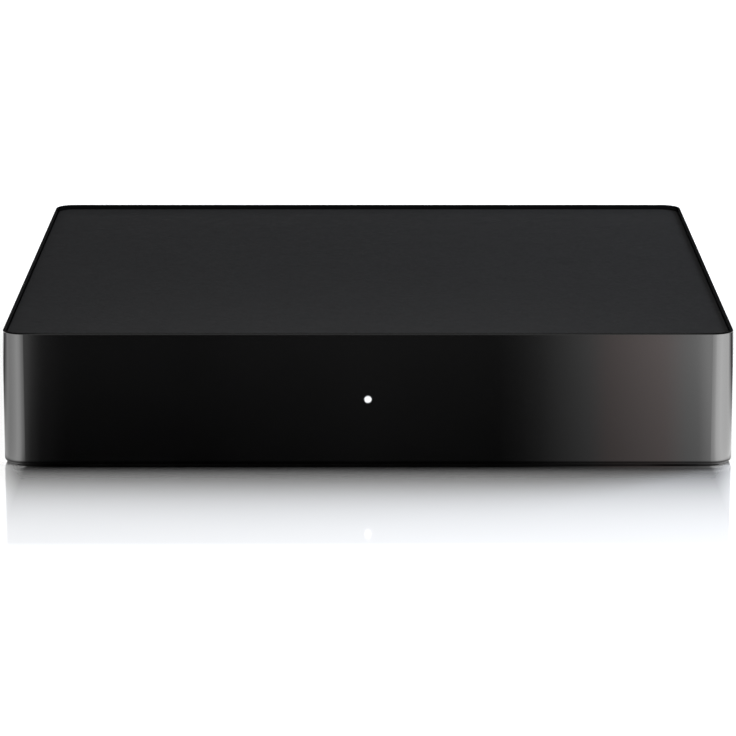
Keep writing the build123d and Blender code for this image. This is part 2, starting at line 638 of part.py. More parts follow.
can_spots = [(36.0, -2.0), (36.0, -10.0), (-34.0, 33.0)]
can_radius, can_top, can_foot, can_foot_height, can_fillet = 3.15, board_top + 7.7, 6.6, 0.8, 0.5
with BuildPart() as capacitor_cans:
    chips(can_spots, can_foot, can_foot, can_foot_height)
    for x, y in can_spots:
        post(x, y, can_radius, board_top + can_foot_height, can_top)
    fillet(capacitor_cans.edges().filter_by(GeomType.CIRCLE).group_by(Axis.Z)[-1], can_fillet)
finish(capacitor_cans.part, "capacitor_cans")

large_chip_spots = [(-30.0, 4.0), (28.0, 17.0), (-20.0, 38.0), (0.0, 34.0), (-3.0, -41.0)]
small_chip_spots = [(-36.0, -8.0), (9.0, -33.0)]
large_chip, small_chip = (5.0, 5.0, 0.9), (3.2, 2.5, 0.8)
with BuildPart() as support_chips:
    chips(large_chip_spots, *large_chip)
    chips(small_chip_spots, *small_chip)
finish(support_chips.part, "support_chips")

# Blocks of small passives: centre X and Y, columns and rows.
passive_blocks = [
    (-36.0, 14.0, 3, 4), (27.0, -14.0, 2, 6), (2.0, 28.0, 8, 1), (-12.0, 30.0, 3, 3),
    (26.0, -38.0, 5, 3), (-38.0, -16.0, 4, 1), (42.0, -30.0, 3, 2), (-8.0, 42.0, 3, 1),
]
passive_length, passive_width, passive_height = 1.6, 0.8, 0.5
passive_pitch_x, passive_pitch_y = 2.4, 2.0
with BuildPart() as chip_passives:
    for x, y, columns, rows in passive_blocks:
        with Locations((x, y, board_top + passive_height / 2)):
            with GridLocations(passive_pitch_x, passive_pitch_y, columns, rows):
                Box(passive_length, passive_width, passive_height)
finish(chip_passives.part, "chip_passives")

# ================================================================ network socket
insert_gap, insert_fit = 0.05, 0.02  # round an insert in its shell, and behind it
insert_inset = 2 * (shell_sheet + insert_gap)
insert_lap, pad_gap = 0.6, 0.05  # a tongue's root inside its block, and the contacts' gap before the block
lan_cavity_y = 1.4  # the plug's space lies this far above the socket's centre
lan_roof, lan_floor = lan_cavity_y + lan_plug_height / 2, lan_cavity_y - lan_plug_height / 2
lan_face_sink = 0.3
lan_step_width, lan_step_height = 6.3, 1.6  # the two steps below the plug's space, for its latch
lan_key_width, lan_key_height = 3.4, 1.25
with BuildPart() as network_shell:
    bar(lan_mouth, lan_width, lan_height, -lan_depth, 0)
    bar(lan_mouth, lan_width - 2 * shell_sheet, lan_height - 2 * shell_sheet, -lan_depth + shell_sheet, 0,
        mode=Mode.SUBTRACT)
    solder_tabs(lan_tabs, board_top + tab_lap)
finish(network_shell.part, "network_shell")

with BuildPart() as network_insert:
    bar(lan_mouth, lan_width - insert_inset, lan_height - insert_inset,
        -lan_depth + shell_sheet + insert_gap, -lan_face_sink)
    for width, height, middle in (
        (lan_plug_width, lan_plug_height, lan_cavity_y),
        (lan_step_width, 2 * lan_step_height, lan_floor),
        (lan_key_width, 2 * lan_key_height, lan_floor - lan_step_height),
    ):
        bar(lan_mouth, width, height, -lan_plug_depth, 0, shift=(0, middle), mode=Mode.SUBTRACT)
finish(network_insert.part, "network_insert")

# Eight sprung wires slope from the back of the plug's space up to its mouth.
wire_count, wire_pitch, wire_radius, wire_bend = 8, 1.02, 0.2, 1.5
wire_back, wire_knee, wire_tip = (1.9, lan_plug_depth), (1.7, lan_plug_depth - 2.5), (0.3, 2.2)
with BuildPart() as network_contacts:
    for n in range(wire_count):
        wire_x = (n - (wire_count - 1) / 2) * wire_pitch
        wire_route = [(wire_x, lan_roof - drop, -depth) for drop, depth in (wire_back, wire_knee, wire_tip)]
        with BuildLine(lan_mouth) as wire_line:
            FilletPolyline(*wire_route, radius=wire_bend)
        with BuildSketch(Plane(wire_line.line @ 0, z_dir=wire_line.line % 0)) as wire:
            Circle(wire_radius)
        sweep(wire.sketch, path=wire_line.line)
finish(network_contacts.part, "network_contacts")

# ================================================================ video socket
with BuildPart() as video_shell:
    with BuildSketch(video_mouth.offset(-video_depth)):
        video_outline()
    extrude(amount=video_depth)
    with BuildSketch(video_mouth.offset(-video_depth + shell_sheet)):
        video_outline(-shell_sheet)
    extrude(amount=video_depth, mode=Mode.SUBTRACT)
    solder_tabs(video_tabs, video_mouth.origin.Z + tab_lap)
finish(video_shell.part, "video_shell")

video_tongue_width, video_tongue_height, video_tongue_y = 11.2, 1.2, 0.25
video_block, video_tongue_sink = 2.6, 1.6  # the insert's solid rear part, and the gap before its tongue's end
with BuildPart() as video_insert:
    with BuildSketch(video_mouth.offset(-video_depth + shell_sheet + insert_fit)):
        video_outline(-shell_sheet - insert_gap)
    extrude(amount=video_block)
    bar(video_mouth, video_tongue_width, video_tongue_height, -video_depth + video_block - insert_lap,
        -video_tongue_sink, shift=(0, video_tongue_y))
finish(video_insert.part, "video_insert")

video_rows, video_pitch = ((10, 1), (9, -1)), 1.0  # contacts in each row, and the row's side of the tongue
video_pad_width, video_pad_sheet, video_pad_sink = 0.45, 0.08, 2.0
video_pad_start = -video_depth + shell_sheet + video_block + pad_gap
with BuildPart() as video_contacts:
    for count, side in video_rows:
        for n in range(count):
            pad_y = video_tongue_y + side * (video_tongue_height + video_pad_sheet) / 2
            bar(video_mouth, video_pad_width, video_pad_sheet, video_pad_start, -video_pad_sink,
                shift=((n - (count - 1) / 2) * video_pitch, pad_y))
finish(video_contacts.part, "video_contacts")

# ================================================================ USB sockets behind the right wall
usb_a_corner = 0.6
with BuildPart() as usb_a_shell:
    bar(usb_a_mouth, usb_a_width, usb_a_height, -usb_a_depth, 0, radius=usb_a_corner)
    bar(usb_a_mouth, usb_a_width - 2 * shell_sheet, usb_a_height - 2 * shell_sheet,
        -usb_a_depth + shell_sheet, 0, radius=usb_a_corner - shell_sheet, mode=Mode.SUBTRACT)
    solder_tabs(usb_a_tabs, usb_a_mouth.origin.Z)
finish(usb_a_shell.part, "usb_a_shell")

usb_a_tongue_width, usb_a_tongue_height, usb_a_tongue_y, usb_a_tongue_sink = 11.1, 1.84, 1.0, 1.0
usb_a_block = 2.9
with BuildPart() as usb_a_insert:
    bar(usb_a_mouth, usb_a_width - insert_inset, usb_a_height - insert_inset,
        -usb_a_depth + shell_sheet + insert_fit, -usb_a_depth + shell_sheet + usb_a_block,
        radius=usb_a_corner - shell_sheet - insert_gap)
    bar(usb_a_mouth, usb_a_tongue_width, usb_a_tongue_height, -usb_a_depth + usb_a_block, -usb_a_tongue_sink,
        shift=(0, usb_a_tongue_y))
finish(usb_a_insert.part, "usb_a_insert")

# Four long contacts under the tongue and five short ones on its other side: count, pitch, width, length
usb_a_sheet, usb_a_pad_start = 0.1, -usb_a_depth + shell_sheet + usb_a_block + pad_gap
with BuildPart() as usb_a_contacts:
    for side, count, pitch, width, length in ((-1, 4, 2.3, 1.0, 8.85), (1, 5, 2.0, 0.6, 2.25)):
        for n in range(count):
            pad_y = usb_a_tongue_y + side * (usb_a_tongue_height + usb_a_sheet) / 2
            bar(usb_a_mouth, width, usb_a_sheet, usb_a_pad_start, usb_a_pad_start + length,
                shift=((n - (count - 1) / 2) * pitch, pad_y))
finish(usb_a_contacts.part, "usb_a_contacts")

with BuildPart() as usb_c_shell:
    with BuildSketch(usb_c_mouth.offset(-usb_c_depth)):
        SlotOverall(usb_c_width, usb_c_height)
    extrude(amount=usb_c_depth)
    with BuildSketch(usb_c_mouth.offset(-usb_c_depth + shell_sheet)):
        SlotOverall(usb_c_width - 2 * shell_sheet, usb_c_height - 2 * shell_sheet)
    extrude(amount=usb_c_depth, mode=Mode.SUBTRACT)
finish(usb_c_shell.part, "usb_c_shell")

usb_c_block, usb_c_tongue_width, usb_c_tongue_height, usb_c_tongue_sink = 1.6, 6.69, 0.7, 0.7
with BuildPart() as usb_c_insert:
    with BuildSketch(usb_c_mouth.offset(-usb_c_depth + shell_sheet + insert_fit)):
        SlotOverall(usb_c_width - insert_inset, usb_c_height - insert_inset)
    extrude(amount=usb_c_block)
    bar(usb_c_mouth, usb_c_tongue_width, usb_c_tongue_height, -usb_c_depth + usb_c_block, -usb_c_tongue_sink)
finish(usb_c_insert.part, "usb_c_insert")

usb_c_count, usb_c_pitch, usb_c_pad_width, usb_c_sheet, usb_c_pad_sink = 12, 0.5, 0.25, 0.05, 1.3
usb_c_pad_start = -usb_c_depth + shell_sheet + usb_c_block + pad_gap
usb_c_pad_y = (usb_c_tongue_height + usb_c_sheet) / 2
with BuildPart() as usb_c_contacts:
    for side in (-1, 1):
        for n in range(usb_c_count):
            pad_at = ((n - (usb_c_count - 1) / 2) * usb_c_pitch, side * usb_c_pad_y)
            bar(usb_c_mouth, usb_c_pad_width, usb_c_sheet, usb_c_pad_start, -usb_c_pad_sink, shift=pad_at)
finish(usb_c_contacts.part, "usb_c_contacts")

# ================================================================ round sockets
socket_back = -wall - flange_thickness - 0.4  # the square bodies stop just behind the rear panel's flange
av_edge_fillet, dc_edge_fillet, dc_tip_fillet = 0.2, 0.25, 0.6
with BuildPart() as av_socket:
    bar(av_mouth, av_body_width, av_body_height, -av_depth, socket_back, shift=(0, -av_lift / 2))
    rod(av_mouth, av_barrel_radius, -av_depth, 0)
    fillet(av_socket.faces().sort_by(Axis.Y)[-1].outer_wire().edges(), av_edge_fillet)
    rod(av_mouth, av_bore_radius, -av_bore_depth, 0, mode=Mode.SUBTRACT)
finish(av_socket.part, "av_socket")

av_pad_depths, av_pad_half, av_pad_sheet = (6.5, 11.5), 0.6, 0.3
av_pad_reach, av_leg_sheet, av_leg_top = 1.0, 0.15, board_top + 3.0
with BuildPart() as av_contacts:
    for side in (-1, 1):
        wall_x = av_x + side * av_body_width / 2
        for depth in av_pad_depths:
            pad_y = span(mouth_y - depth, 2 * av_pad_half)
            block((wall_x, wall_x + side * av_pad_reach), pad_y, (board_top, board_top + av_pad_sheet))
            block((wall_x, wall_x + side * av_leg_sheet), pad_y, (board_top + av_pad_sheet, av_leg_top))
finish(av_contacts.part, "av_contacts")

with BuildPart() as dc_socket:
    bar(dc_mouth, dc_body_width, dc_body_height, -dc_depth, socket_back,
        shift=(0, dc_body_height / 2 - dc_axis_lift))
    rod(dc_mouth, dc_nose_radius, -dc_depth, 0)
    fillet(dc_socket.faces().sort_by(Axis.Y)[-1].outer_wire().edges(), dc_edge_fillet)
    rod(dc_mouth, dc_bore_radius, -dc_bore_depth, 0, mode=Mode.SUBTRACT)
    rod(dc_mouth, dc_root_radius, -dc_depth, 0, mode=Mode.SUBTRACT)
finish(dc_socket.part, "dc_socket")

dc_root_end, dc_root_lap = 0.4, 0.5  # the pin's root stands out behind, and overlaps the pin
with BuildPart() as dc_pin:
    rod(dc_mouth, dc_root_radius, -dc_depth - dc_root_end, -dc_bore_depth + dc_root_lap)
    rod(dc_mouth, dc_pin_radius, -dc_bore_depth, -dc_pin_sink)
    fillet(dc_pin.faces().sort_by(Axis.Y)[-1].edges(), dc_tip_fillet)
finish(dc_pin.part, "dc_pin")

with BuildPart() as dc_contacts:
    for x, y, wide, long in dc_tabs:
        block(span(x, wide), span(y, long), (tab_end, board_top))
finish(dc_contacts.part, "dc_contacts")

# ================================================================ optical socket with its sprung shutter
hinge_y, hinge_z = mouth_y - 1.5, optical_mouth_high
hinge_plane = Plane(origin=(optical_x, hinge_y, hinge_z), x_dir=(0, 1, 0), z_dir=(1, 0, 0))
door_half, door_thickness, door_low, door_corner = 3.95, 0.8, optical_mouth_low + 0.15, 0.6
barrel_radius, hinge_pin_radius, hinge_pin_half, hinge_pin_fit, barrel_fit = 0.8, 0.4, 4.8, 0.01, 0.05
spring_room_x, spring_room_drop = 2.7, 1.4  # the shutter is notched from here to its edge, for the spring
cavity_depth, cavity_roof, lip_depth = 12.3, optical_mouth_high + 1.1, 0.6
optical_corner = 0.3
cavity_x = span(optical_x, optical_mouth_width)

with BuildPart() as optical_housing:
    bar(optical_body, optical_width, optical_height, -optical_depth, 0, radius=optical_corner)
    block(cavity_x, (mouth_y - cavity_depth, mouth_y + overcut), (optical_mouth_low, optical_mouth_high),
          mode=Mode.SUBTRACT)
    block(cavity_x, (mouth_y - cavity_depth, mouth_y - lip_depth), (optical_mouth_high, cavity_roof),
          mode=Mode.SUBTRACT)
    rod(hinge_plane, hinge_pin_radius + hinge_pin_fit, -hinge_pin_half, hinge_pin_half, mode=Mode.SUBTRACT)
finish(optical_housing.part, "optical_housing")

emitter_base_radius, emitter_base_top, emitter_radius, emitter_top = 1.9, 11.2, 1.2, 9.6
emitter_lap, emitter_fillet, emitter_back = 0.1, 0.3, cavity_depth - 0.05
with BuildPart() as optical_emitter:
    rod(optical_mouth, emitter_base_radius, -emitter_back, -emitter_base_top)
    rod(optical_mouth, emitter_radius, -emitter_base_top - emitter_lap, -emitter_top)
    fillet(optical_emitter.faces().sort_by(Axis.Y)[-1].edges(), emitter_fillet)
finish(optical_emitter.part, "optical_emitter")

with BuildPart() as shutter_pin:
    rod(hinge_plane, hinge_pin_radius, -hinge_pin_half, hinge_pin_half)
finish(shutter_pin.part, "shutter_pin")

with BuildPart() as optical_shutter:
    block(span(optical_x, 2 * door_half), span(hinge_y, door_thickness),
          (door_low, hinge_z))
    fillet(optical_shutter.edges().filter_by(Axis.Y).group_by(Axis.Z)[0], door_corner)
    block((optical_x + spring_room_x, optical_x + door_half + overcut), span(hinge_y, 2 * overcut),
          (hinge_z - spring_room_drop, hinge_z + overcut), mode=Mode.SUBTRACT)
    rod(hinge_plane, barrel_radius, -door_half, spring_room_x)
    rod(hinge_plane, hinge_pin_radius + barrel_fit, -door_half - overcut, spring_room_x + overcut,
        mode=Mode.SUBTRACT)
finish(optical_shutter.part, "optical_shutter")

# Torsion spring on the hinge pin: a short leg forward under the roof, a long leg down behind the shutter.
spring_wire, spring_coil, spring_pitch, spring_turns = 0.11, 0.62, 0.27, 3.25
spring_short_leg, spring_long_leg, spring_gap = 0.6, 2.6, 0.15
spring_start = hinge_plane.origin + Vector(spring_room_x + spring_gap, 0, 0)
spring_base = Plane(origin=spring_start, x_dir=(0, 0, 1), z_dir=(1, 0, 0))
coil = spring_base * Helix(spring_pitch, spring_pitch * spring_turns, spring_coil)
top, rear = coil @ 0, coil @ 1
front_tip, low_tip = top - (coil % 0) * spring_short_leg, rear + (coil % 1) * spring_long_leg
with BuildPart() as shutter_spring:
    with BuildLine() as spring_path:
        Line(front_tip, top)
        add(coil)
        Line(rear, low_tip)
    with BuildSketch(Plane(front_tip, z_dir=coil % 0)) as wire:
        Circle(spring_wire)
    sweep(wire.sketch, path=spring_path.line)
finish(shutter_spring.part, "shutter_spring")

# ================================================================ reset button and its switch
switch_depth, switch_half, switch_length, switch_height = 8.0, 3.0, 3.4, 4.2
plunger_radius, plunger_gap, plunger_out, plunger_bore = 0.95, 0.1, 1.0, 1.2
reset_collar_radius, reset_stem_radius, reset_edge_fillet = 2.0, 1.0, 0.25
flange_depth = mouth_y - panel_back
reset_collar = (flange_depth + 0.1, flange_depth + 0.8)  # how deep the collar starts and ends
reset_cap_lap = 0.4
switch_front = mouth_y - switch_depth
with BuildPart() as reset_switch:
    block(span(reset_x, 2 * switch_half), (switch_front - switch_length, switch_front),
          (board_top, board_top + switch_height))
    rod(reset_mouth, plunger_radius + plunger_gap, -switch_depth - plunger_bore, 0, mode=Mode.SUBTRACT)
finish(reset_switch.part, "reset_switch")

plunger_end = plunger_bore - reset_travel - plunger_gap / 2  # leaves room for the travel at the bore's end
with BuildPart() as reset_plunger:
    rod(reset_mouth, plunger_radius, -switch_depth - plunger_end, -switch_depth + plunger_out)
finish(reset_plunger.part, "reset_plunger")

with BuildPart() as reset_button:
    rod(reset_mouth, reset_cap_radius, -reset_collar[0] - reset_cap_lap, reset_travel)
    fillet(reset_button.faces().sort_by(Axis.Y)[-1].edges(), reset_edge_fillet)
    rod(reset_mouth, reset_collar_radius, -reset_collar[1], -reset_collar[0])
    rod(reset_mouth, reset_stem_radius, -switch_depth + plunger_out, -reset_collar[0])
finish(reset_button.part, "reset_button")
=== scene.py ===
"""Looks for a low square media box: gloss black wall, matte lid, sockets behind and on the right.

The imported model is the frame. Lengths are in metres, +Z is up and the front faces -Y.
"""

import json
from math import cos, pi, radians, sin

import bmesh
import bpy
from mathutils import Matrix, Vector


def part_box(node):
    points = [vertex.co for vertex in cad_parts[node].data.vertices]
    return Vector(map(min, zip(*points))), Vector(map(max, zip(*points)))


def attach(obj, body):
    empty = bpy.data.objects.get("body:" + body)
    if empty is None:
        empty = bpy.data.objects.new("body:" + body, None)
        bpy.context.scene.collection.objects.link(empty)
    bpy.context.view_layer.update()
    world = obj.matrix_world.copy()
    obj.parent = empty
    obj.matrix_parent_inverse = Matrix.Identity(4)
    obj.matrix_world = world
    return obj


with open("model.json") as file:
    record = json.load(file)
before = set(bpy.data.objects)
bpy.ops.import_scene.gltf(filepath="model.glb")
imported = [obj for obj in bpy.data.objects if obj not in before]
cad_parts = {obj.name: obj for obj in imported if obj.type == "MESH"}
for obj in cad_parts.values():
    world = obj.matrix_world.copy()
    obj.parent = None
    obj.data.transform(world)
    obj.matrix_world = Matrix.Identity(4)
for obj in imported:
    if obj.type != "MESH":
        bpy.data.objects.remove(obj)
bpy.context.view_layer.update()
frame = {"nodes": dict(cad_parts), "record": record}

# ---------------------------------------------------------------- sizes worked out from the frame
MM = 0.001
nodes = frame["nodes"]
wall_top_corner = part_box("side_band")[1]
half = wall_top_corner.x  # half the box's width and depth
height = wall_top_corner.z
corner_radius = 3.6 * MM
corner_at = half - corner_radius  # how far the rounded corners' centres lie from the middle, in X and Y


# ---------------------------------------------------------------- small node-graph helpers
EVEN = (1, 1, 1)  # noise that isn't stretched


def node(tree, kind, inputs=None, **settings):
    """Adds a shader node. inputs gives each socket a constant or another node's output."""
    made = tree.nodes.new(kind)
    for key, value in settings.items():
        setattr(made, key, value)
    for socket, value in (inputs or {}).items():
        if isinstance(value, bpy.types.NodeSocket):
            tree.links.new(value, made.inputs[socket])
        else:
            made.inputs[socket].default_value = value
    return made


def math(tree, operation, first, second=0.0, clamp=False):
    """One arithmetic step."""
    step = node(tree, "ShaderNodeMath", {0: first, 1: second}, operation=operation, use_clamp=clamp)
    return step.outputs[0]


def noise(tree, position, size, detail=3.0, stretch=EVEN):
    """Noise whose features are about size metres across, stretched along an axis where stretch is large."""
    scale = [1 / factor for factor in stretch]
    mapped = node(tree, "ShaderNodeMapping", {"Vector": position, "Scale": scale}).outputs[0]
    inputs = {"Vector": mapped, "Scale": 1 / size, "Detail": detail}
    return node(tree, "ShaderNodeTexNoise", inputs).outputs["Fac"]


def spread(tree, factor, low, high, start=0.3, end=0.7):
    """Maps a value from start..end to low..high and holds it there. Noise lies mostly within 0.3..0.7."""
    inputs = {"Value": factor, "From Min": start, "From Max": end, "To Min": low, "To Max": high}
    return node(tree, "ShaderNodeMapRange", inputs, clamp=True).outputs[0]


def mix_values(tree, factor, first, second):
    """Goes from the first value to the second as factor goes from 0 to 1."""
    return node(tree, "ShaderNodeMix", {0: factor, 2: first, 3: second}, data_type="FLOAT").outputs[0]


def blend_colours(tree, factor, first, second):
    """Goes from the first colour to the second as factor goes from 0 to 1."""
    inputs = {0: factor, 6: (*first, 1), 7: (*second, 1)}
    return node(tree, "ShaderNodeMix", inputs, data_type="RGBA").outputs[2]


def shaded(name, colour, roughness, bumps=(), **constants):
    """A material round one Principled shader.

    colour and roughness are functions of (tree, position). Each bump is (feature size, depth, stretch). The
    constants name the shader's own sockets, with an underscore for each space.
    """
    material = bpy.data.materials.new(name)
    material.use_nodes = True
    tree = material.node_tree
    shader = tree.nodes["Principled BSDF"]
    position = node(tree, "ShaderNodeTexCoord").outputs["Object"]
    tree.links.new(colour(tree, position), shader.inputs["Base Color"])
    tree.links.new(roughness(tree, position), shader.inputs["Roughness"])
    normal = None
    for size, depth, stretch in bumps:
        inputs = {"Height": noise(tree, position, size, 2.0, stretch), "Strength": 1.0, "Distance": depth}
        if normal:
            inputs["Normal"] = normal
        normal = node(tree, "ShaderNodeBump", inputs).outputs[0]
    if normal:
        tree.links.new(normal, shader.inputs["Normal"])
    for socket, value in constants.items():
        shader.inputs[socket.replace("_", " ")].default_value = value
    return material


def varied(low, high, size, stretch=EVEN):
    """A roughness function that varies in patches of a given size."""
    return lambda tree, position: spread(tree, noise(tree, position, size, 4.0, stretch), low, high)


def mottled(dark, light, size, stretch=EVEN):
    """A colour function: two close colours in patches of a given size."""
    patches = varied(0, 1, size, stretch)
    return lambda tree, position: blend_colours(tree, patches(tree, position), dark, light)


# ---------------------------------------------------------------- materials, one for each slot
def gloss_black():
    return shaded("gloss_black", mottled((0.0004, 0.0004, 0.00045), (0.0009, 0.0009, 0.001), 9 * MM),
                  varied(0.045, 0.085, 14 * MM), [(0.35 * MM, 0.00005 * MM, EVEN)], IOR=1.6,
                  Specular_IOR_Level=1.0)


def matte_black():
    return shaded("matte_black", mottled((0.0155, 0.0155, 0.0156), (0.02, 0.02, 0.0202), 0.5 * MM),
                  varied(0.5, 0.66, 6 * MM), [(0.28 * MM, 0.012 * MM, EVEN)], Specular_IOR_Level=0.12)


def foot_rubber():
    return shaded("foot_rubber", mottled((0.012, 0.012, 0.0125), (0.024, 0.024, 0.025), 0.8 * MM),
                  varied(0.75, 0.95, 2 * MM), [(0.2 * MM, 0.02 * MM, EVEN)], Specular_IOR_Level=0.3)


def label_film():
    return shaded("label_film", mottled((0.30, 0.31, 0.32), (0.36, 0.37, 0.38), 0.25 * MM),
                  varied(0.32, 0.45, 3 * MM), [(0.3 * MM, 0.002 * MM, EVEN)])


def zinc_steel():
    return shaded("zinc_steel", mottled((0.42, 0.43, 0.45), (0.66, 0.67, 0.66), 0.6 * MM),
                  varied(0.22, 0.42, 0.4 * MM), [(0.15 * MM, 0.003 * MM, EVEN)], Metallic=1.0)


def plated_steel():
    brushed = (1, 20, 1)
    return shaded("plated_steel", mottled((0.58, 0.57, 0.55), (0.74, 0.73, 0.71), 0.5 * MM, (1, 12, 1)),
                  varied(0.2, 0.36, 0.12 * MM, brushed), [(0.05 * MM, 0.0012 * MM, brushed)], Metallic=1.0)


def circuit_board():
    return shaded("circuit_board", mottled((0.006, 0.055, 0.03), (0.014, 0.11, 0.055), 0.7 * MM, (1, 6, 1)),
                  varied(0.25, 0.4, 1.5 * MM), [(0.4 * MM, 0.02 * MM, (1, 5, 1))])


def chip_black():
    return shaded("chip_black", mottled((0.014, 0.014, 0.015), (0.024, 0.024, 0.026), 0.3 * MM),
                  varied(0.5, 0.7, 0.5 * MM), [(0.1 * MM, 0.006 * MM, EVEN)])


def contact_gold():
    return shaded("contact_gold", mottled((0.72, 0.5, 0.2), (0.9, 0.7, 0.36), 0.4 * MM),
                  varied(0.14, 0.3, 0.3 * MM), Metallic=1.0)


def sink_aluminium():
    drawn = (1, 30, 1)
    return shaded("sink_aluminium", mottled((0.6, 0.61, 0.63), (0.78, 0.79, 0.8), 0.5 * MM, drawn),
                  varied(0.28, 0.45, 0.2 * MM, drawn), [(0.1 * MM, 0.004 * MM, drawn)], Metallic=1.0)


def thermal_silicone():
    return shaded("thermal_silicone", mottled((0.36, 0.39, 0.44), (0.46, 0.49, 0.54), 0.6 * MM),
                  varied(0.6, 0.8, 1 * MM), [(0.3 * MM, 0.02 * MM, EVEN)])


def connector_black():
    return shaded("connector_black", mottled((0.010, 0.010, 0.011), (0.018, 0.018, 0.019), 0.4 * MM),
                  varied(0.38, 0.55, 0.9 * MM), [(0.15 * MM, 0.006 * MM, EVEN)], Specular_IOR_Level=0.4)


def socket_blue():
    return shaded("socket_blue", mottled((0.012, 0.06, 0.33), (0.025, 0.11, 0.47), 0.5 * MM),
                  varied(0.35, 0.5, 0.7 * MM), [(0.15 * MM, 0.004 * MM, EVEN)])


TIP_DEPTH = 0.35 * MM  # how deep the light pipe glows behind the front wall's face
TIP_GLOW, RIM_GLOW = 1.8, 0.08
CORE_RADIUS, RIM_RADIUS = 0.2 * MM, 0.62 * MM
LAMP_COLOUR = (0.97, 0.985, 1.0)


def clear_acrylic():
    """Clear plastic whose outer end, flush with the front wall, glows white and fades towards its rim."""
    material = shaded("clear_acrylic", mottled((0.82, 0.85, 0.88), (0.92, 0.94, 0.96), 1 * MM),
                      varied(0.06, 0.14, 1 * MM), IOR=1.49, Transmission_Weight=0.93)
    tree = material.node_tree
    shader = tree.nodes["Principled BSDF"]
    place = node(tree, "ShaderNodeSeparateXYZ", {0: node(tree, "ShaderNodeTexCoord").outputs["Object"]})
    tip_y = -half + TIP_DEPTH
    tip_heights = [vertex.co.z for vertex in nodes["light_pipe"].data.vertices if vertex.co.y < tip_y]
    middle = (min(tip_heights) + max(tip_heights)) / 2
    upwards = math(tree, "SUBTRACT", place.outputs["Z"], middle)
    squares = math(tree, "ADD", math(tree, "POWER", place.outputs["X"], 2), math(tree, "POWER", upwards, 2))
    glow = spread(tree, math(tree, "SQRT", squares), TIP_GLOW, RIM_GLOW, CORE_RADIUS, RIM_RADIUS)
    in_tip = math(tree, "LESS_THAN", place.outputs["Y"], tip_y)
    tree.links.new(math(tree, "MULTIPLY", in_tip, glow), shader.inputs["Emission Strength"])
    shader.inputs["Emission Color"].default_value = (*LAMP_COLOUR, 1)
    return material


def lamp_white():
    return shaded("lamp_white", mottled((0.85, 0.85, 0.7), (0.95, 0.94, 0.82), 0.2 * MM),
                  varied(0.2, 0.35, 0.3 * MM), Emission_Strength=1.5, Emission_Color=(0.95, 0.98, 1, 1))


def antenna_copper():
    return shaded("antenna_copper", mottled((0.66, 0.42, 0.24), (0.8, 0.56, 0.36), 0.6 * MM),
                  varied(0.25, 0.42, 0.5 * MM), Metallic=1.0)


def coax_grey():
    return shaded("coax_grey", mottled((0.09, 0.09, 0.095), (0.14, 0.14, 0.145), 0.5 * MM),
                  varied(0.4, 0.55, 0.6 * MM), [(0.2 * MM, 0.006 * MM, EVEN)])


def ferrite_grey():
    return shaded("ferrite_grey", mottled((0.05, 0.05, 0.052), (0.09, 0.09, 0.092), 0.3 * MM),
                  varied(0.6, 0.8, 0.4 * MM), [(0.12 * MM, 0.012 * MM, EVEN)])


def passive_tan():
    return shaded("passive_tan", mottled((0.28, 0.19, 0.11), (0.42, 0.3, 0.2), 1.2 * MM),
                  varied(0.35, 0.55, 0.4 * MM))


def infrared_dark():
    return shaded("infrared_dark", mottled((0.010, 0.005, 0.008), (0.016, 0.009, 0.013), 0.8 * MM),
                  varied(0.08, 0.16, 0.8 * MM))


MAKERS = (gloss_black, matte_black, foot_rubber, label_film, zinc_steel, plated_steel, circuit_board,
          chip_black, contact_gold, sink_aluminium, thermal_silicone, connector_black, socket_blue,
          clear_acrylic, lamp_white, antenna_copper, coax_grey, ferrite_grey, passive_tan, infrared_dark)


def dress_cad_nodes():
    """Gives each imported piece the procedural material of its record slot."""
    materials = {maker.__name__: maker() for maker in MAKERS}
    for part in frame["record"]["subparts"]:
        for holder in nodes[part["node"]].material_slots:
            holder.material = materials[part["material_slot"]]


# ---------------------------------------------------------------- small pieces on the rear panel
PRINT_LINE = 0.26 * MM  # how wide the signs' lines are
PRINT_DEPTH = 0.03 * MM
SIGN_HEIGHT = 15.2 * MM  # the signs' middles, above the table
WINDOW_WIDTH, WINDOW_HEIGHT, WINDOW_DEPTH = 2.4 * MM, 1.7 * MM, 0.16 * MM
WINDOW_BEVEL = 0.1 * MM
WINDOW_SHIFT, WINDOW_RISE = 5.5 * MM, 1.65 * MM  # from the network socket's middle, and from its foot


def printed_grey():
    return shaded("printed_grey", mottled((0.24, 0.245, 0.25), (0.33, 0.335, 0.34), 0.2 * MM),
                  varied(0.5, 0.7, 0.3 * MM), Specular_IOR_Level=0.25)


def window_tint(name, dark, light):
    """Coloured clear plastic of an unlit signal lamp."""
    return shaded(name, mottled(dark, light, 0.5 * MM), varied(0.12, 0.2, 0.5 * MM), IOR=1.49,
                  Transmission_Weight=0.25)


def bar(u, v, width=PRINT_LINE, tall=PRINT_LINE):
    """A rectangle's outline, from its middle and its size."""
    return [(u + i * width / 2, v + j * tall / 2) for i, j in ((-1, -1), (1, -1), (1, 1), (-1, 1))]


def arc(radius, start, end, steps=24):
    """An outline that follows a circle round the sign's middle, one line wide. Angles are in degrees."""
    angles = [radians(start + (end - start) * n / steps) for n in range(steps + 1)]
    outer, inner = radius + PRINT_LINE / 2, radius - PRINT_LINE / 2
    there = [(outer * cos(angle), outer * sin(angle)) for angle in angles]
    back = [(inner * cos(angle), inner * sin(angle)) for angle in reversed(angles)]
    return there + back


